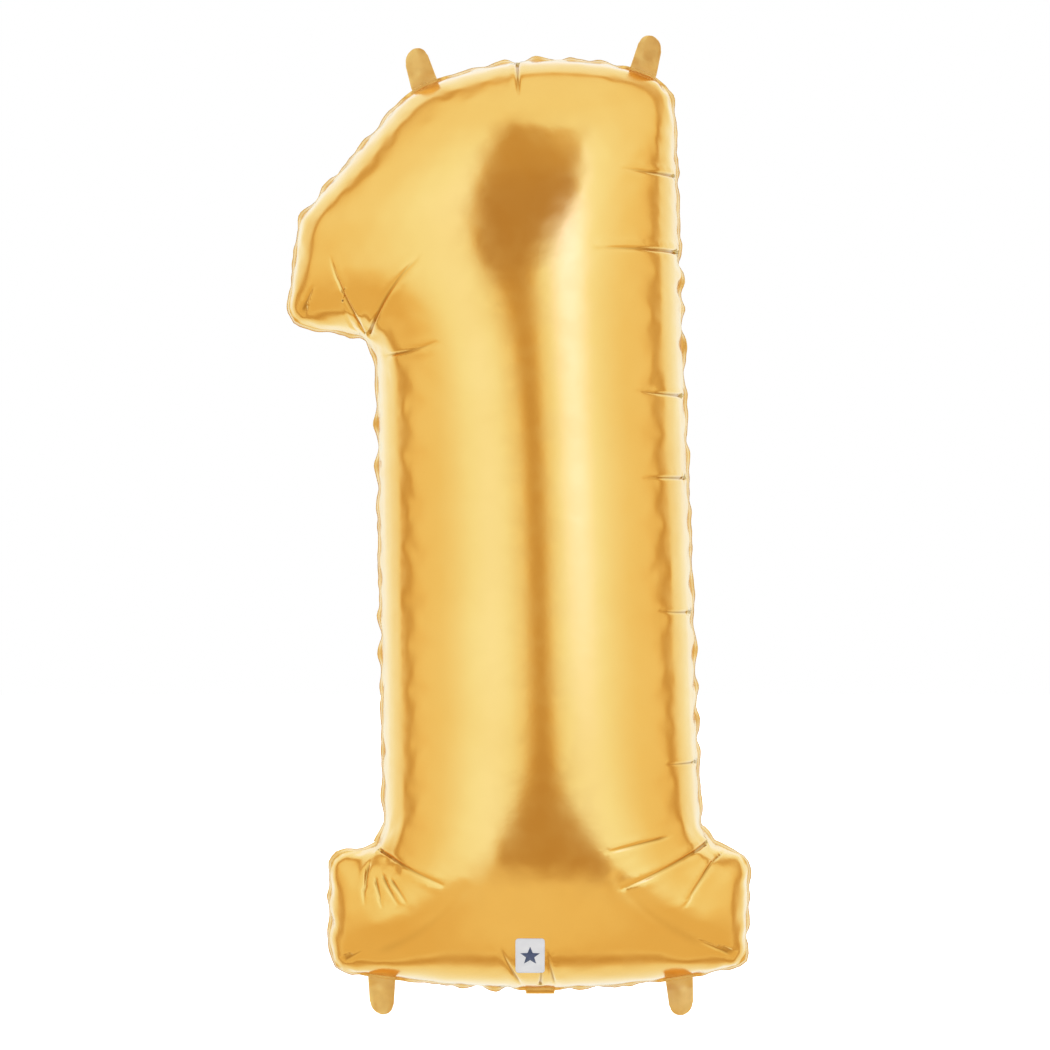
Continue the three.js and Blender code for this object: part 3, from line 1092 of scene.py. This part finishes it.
# Brightness of the studio by angle from the camera's direction, in degrees.
STUDIO_TONES = [(0, 0.9), (14, 0.93), (22, 0.978), (32, 1.0), (46, 0.972), (60, 0.93), (74, 0.9), (94, 0.89),
                (103, 0.86), (107, 0.64), (111, 0.56), (115, 0.72), (119, 0.91), (134, 0.95), (148, 1.02),
                (160, 0.97), (170, 0.85), (180, 0.7)]
# Colour of the studio by brightness: the film is deep gold in its darker parts, and pale in the brightest.
STUDIO_TINTS = [(0.45, (1.0, 0.62, 0.28)), (0.6, (1.0, 0.69, 0.3)), (0.8, (1.0, 0.8, 0.45)),
                (0.88, (1.0, 0.9, 0.63)), (0.9, (1.0, 0.98, 0.78)), (0.97, (1.0, 1.2, 1.37)),
                (1.15, (1.0, 1.25, 2.2)), (1.3, (1.0, 1.22, 2.6))]
TINT_TOP = 2.6
GAP_TONES = (0.58, 0.52)    # the gap between the soft boxes: straight ahead, and above and below
CEILING_TONES = (0.485, 0.57, 0.68)     # the dark ceiling above the camera: low, high, and high right
TOP_TONE = 0.93             # overhead
FLOOR_TONES = (0.87, 0.8)   # straight ahead and at the sides
GLOW_TONE = 1.27            # the brightest part of the right soft box
BRIGHTEST = 1.5
GLOW_WAY = 32.0             # azimuth of the middle of the right soft box
TOP_EDGE = 62.5             # height of the ceiling's far edge, straight ahead
FLOOR_EDGES = ((-34.2, 1.6), (-34.5, 24))   # the floor's far edge and its softness: ahead, and at the sides

FLOOR_REACH = 9
FLOOR_DROP = 60 * MM        # from the lowest point of the part to the floor
CAMERA_DISTANCE = 4.0
PICTURE_SHARE = 1.071       # the picture's width as a share of the part's height
CAMERA_SHIFT = (6.2 * MM, 0.3 * MM)     # to the right of the part's middle, and above it


def tone_ramp(tree, factor, stops, top):
    """A colour ramp from (place, colour) stops, where top is the place of the ramp's end."""
    made = tree.nodes.new("ShaderNodeValToRGB")
    elements = made.color_ramp.elements
    while len(elements) < len(stops):
        elements.new(0.5)
    for element, (place, colour) in zip(elements, stops):
        element.position = place / top
        element.color = (*colour, 1)
    tree.links.new(number(tree, "DIVIDE", factor, top), made.inputs[0])
    return made


def studio_tone(tree, direction):
    """How bright the studio is in a direction: soft boxes, their gap, ceiling, floor and backdrop."""
    x, y, z = direction
    degrees = 180 / math.pi
    to_camera = number(tree, "MULTIPLY", y, -1.0)
    polar = number(tree, "MULTIPLY", number(tree, "ARCCOSINE", to_camera), degrees)
    azimuth = number(tree, "MULTIPLY", number(tree, "ARCTAN2", x, to_camera), degrees)
    height = number(tree, "MULTIPLY", number(tree, "ARCSINE", z), degrees)
    # The backdrop's edge is nearer below than at the sides.
    low = inverse(tree, step_up(tree, height, -62, 24))
    around = total(tree, polar, (12, low))
    in_front = inverse(tree, step_up(tree, around, 98, 8))
    stops = [(angle, (tone / BRIGHTEST,) * 3) for angle, tone in STUDIO_TONES]
    profile = tone_ramp(tree, around, stops, 180)
    tone = total(tree, (BRIGHTEST, profile.outputs[0]), (0.025, step_up(tree, height, 20, 20)))
    tone = blended(tree, tone, TOP_TONE, step_up(tree, height, 68, 18))
    from_glow = number(tree, "ABSOLUTE", number(tree, "SUBTRACT", azimuth, GLOW_WAY))
    beside_glow = step_up(tree, from_glow, 8, 15)
    over_glow = step_up(tree, height, 44, 16)
    tone = blended(
        tree, tone, GLOW_TONE,
        inverse(tree, beside_glow), step_up(tree, height, 1, 16), inverse(tree, over_glow))
    # The gap is narrow straight ahead, and wider above and below.
    down_left = inverse(tree, step_up(tree, height, -15, 16))
    down_right = inverse(tree, step_up(tree, height, -16, 16))
    left = total(tree, azimuth, 4.5, (14, step_up(tree, height, 8, 6)), (20, down_left))
    right = total(tree, azimuth, -7.5, (-30, step_up(tree, height, 19, 18)), (-29, down_right))
    gap = number(tree, "MULTIPLY", step_up(tree, left, 0, 9), inverse(tree, step_up(tree, right, 0, 9)))
    up = step_up(tree, height, 8, 8)
    away = step_up(tree, number(tree, "ABSOLUTE", height), 8, 10)
    gap_tone = total(tree, GAP_TONES[0], (GAP_TONES[1] - GAP_TONES[0], away))
    tone = blended(tree, tone, gap_tone, gap, inverse(tree, up))
    high = step_up(tree, height, 38, 18)
    high_right = number(tree, "MULTIPLY", high, step_up(tree, azimuth, 22, 22))
    ceiling_tone = total(
        tree, CEILING_TONES[0], (CEILING_TONES[1] - CEILING_TONES[0], high),
        (CEILING_TONES[2] - CEILING_TONES[1], high_right))
    slanted = total(tree, height, (0.4, azimuth))
    under_top = inverse(tree, step_up(tree, slanted, TOP_EDGE, 7))
    tone = blended(tree, tone, ceiling_tone, gap, up, under_top, in_front)
    # The floor's far edge is sharp ahead and soft at the sides.
    aside = number(tree, "ABSOLUTE", number(tree, "SUBTRACT", azimuth, 5.0))
    edge = total(tree, height, (-0.21, aside))
    beside = step_up(tree, number(tree, "ABSOLUTE", azimuth), 40, 30)
    sharp, soft = (inverse(tree, step_up(tree, edge, *ends)) for ends in FLOOR_EDGES)
    floor = blended(tree, sharp, soft, beside)
    floor_tone = total(tree, FLOOR_TONES[0], (FLOOR_TONES[1] - FLOOR_TONES[0], beside))
    return blended(tree, tone, floor_tone, floor, in_front)


def studio_world():
    """The studio as a world around the balloon, plain white where the camera sees it directly."""
    world = bpy.data.worlds.new("studio")
    world.use_nodes = True
    tree = world.node_tree
    nodes, links = tree.nodes, tree.links
    coordinates = nodes.new("ShaderNodeTexCoord")
    parts = nodes.new("ShaderNodeSeparateXYZ")
    links.new(coordinates.outputs["Generated"], parts.inputs[0])
    tone = studio_tone(tree, parts.outputs)
    seen = nodes.new("ShaderNodeLightPath")
    tints = [(place, tuple(part / TINT_TOP for part in tint)) for place, tint in STUDIO_TINTS]
    tinted = tone_ramp(tree, tone, tints, BRIGHTEST).outputs[0]
    background = nodes["Background"]
    # Printed and clear surfaces, which scatter the light, get it untinted.
    scattered = (1 / TINT_TOP,) * 3
    links.new(mixed(tree, seen.outputs["Is Glossy Ray"], scattered, tinted), background.inputs["Color"])
    links.new(number(tree, "MULTIPLY", tone, TINT_TOP), background.inputs["Strength"])
    white = nodes.new("ShaderNodeBackground")
    white.inputs["Color"].default_value = (1, 1, 1, 1)
    choose = nodes.new("ShaderNodeMixShader")
    links.new(seen.outputs["Is Camera Ray"], choose.inputs[0])
    links.new(background.outputs[0], choose.inputs[1])
    links.new(white.outputs[0], choose.inputs[2])
    links.new(choose.outputs[0], nodes["World Output"].inputs[0])
    bpy.context.scene.world = world


def pale_floor(level):
    """A plain white floor that runs out to the white backdrop."""
    corners = [(x * FLOOR_REACH, y * FLOOR_REACH, level) for x, y in ((-1, -1), (1, -1), (1, 1), (-1, 1))]
    floor = new_mesh("floor", corners, [(0, 1, 2, 3)])
    made, _, shader = principled("floor_white")
    set_inputs(shader, Base_Color=(0.9, 0.9, 0.9, 1), Roughness=0.9)
    set_inputs(shader, Emission_Color=(1, 1, 1, 1), Emission_Strength=1.0)
    floor.data.materials.append(made)
    floor.visible_glossy = False
    floor.visible_diffuse = False


def front_camera():
    """A long lens square to the front, level with the middle of the balloon."""
    low, high = (Vector(corner) for corner in CAD_BOX)
    picture_width = PICTURE_SHARE * (high.z - low.z)
    lens = bpy.data.cameras.new("camera")
    lens.sensor_width = 36
    lens.lens = lens.sensor_width * CAMERA_DISTANCE / picture_width
    camera = bpy.data.objects.new("camera", lens)
    bpy.context.scene.collection.objects.link(camera)
    middle = (low + high) / 2
    camera.location = (middle.x + CAMERA_SHIFT[0], -CAMERA_DISTANCE, middle.z + CAMERA_SHIFT[1])
    camera.rotation_euler = (math.radians(90), 0, 0)
    bpy.context.scene.camera = camera


# ---------------------------------------------------------------- the object

def main():
    """Builds every piece, hangs the films, weld, valve and print on the envelope, and hides the CAD parts
    that they replace.
    """
    foil = gold_foil()
    films, seam = balloon_films(foil, sealed_foil("sealed_foil", 0.27))
    fused = sealed_foil("fused_foil", 0.36)
    for side, node in ((FRONT, "front_panel"), (BACK, "back_panel")):
        film = films[side]
        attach(film, "envelope")
        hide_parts(node)
    lining = plain_film("weld_lining", (0.78, 0.74, 0.66), (0.7, 0.66, 0.58), 0.5)
    ring = weld_ring(seam, lining)
    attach(ring, "envelope")
    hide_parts("seam_weld")
    valve = plain_film("valve_film", (0.82, 0.83, 0.84), (0.74, 0.75, 0.77), 0.32)
    for side in (FRONT, BACK):
        valve_film(side, valve)
    for joint in frame["joints"]:
        if joint["child"] == "fill_neck":
            for side in (FRONT, BACK):
                neck_film(side, joint, foil)
        else:
            hanging_tab(joint, fused)
    middle = np.array([PATCH_MIDDLE[0], seam.place[:, 1].min() + PATCH_MIDDLE[1]])
    white = plain_film("white_ink", (0.93, 0.93, 0.95), (0.88, 0.88, 0.91), 0.35)
    blue = plain_film("slate_ink", (0.07, 0.10, 0.22), (0.05, 0.08, 0.18), 0.35)
    patch_on(films[FRONT], "printed_patch", rounded_box(*PATCH_SIZE, 3 * MM), middle, 0.12 * MM, white)
    patch_on(films[FRONT], "printed_star", star(9.5 * MM, 4 * MM), middle, 0.2 * MM, blue)


front_camera()
main()
studio_world()
pale_floor(CAD_BOX[0][2] - FLOOR_DROP)
bpy.context.scene.view_settings.view_transform = "Standard"
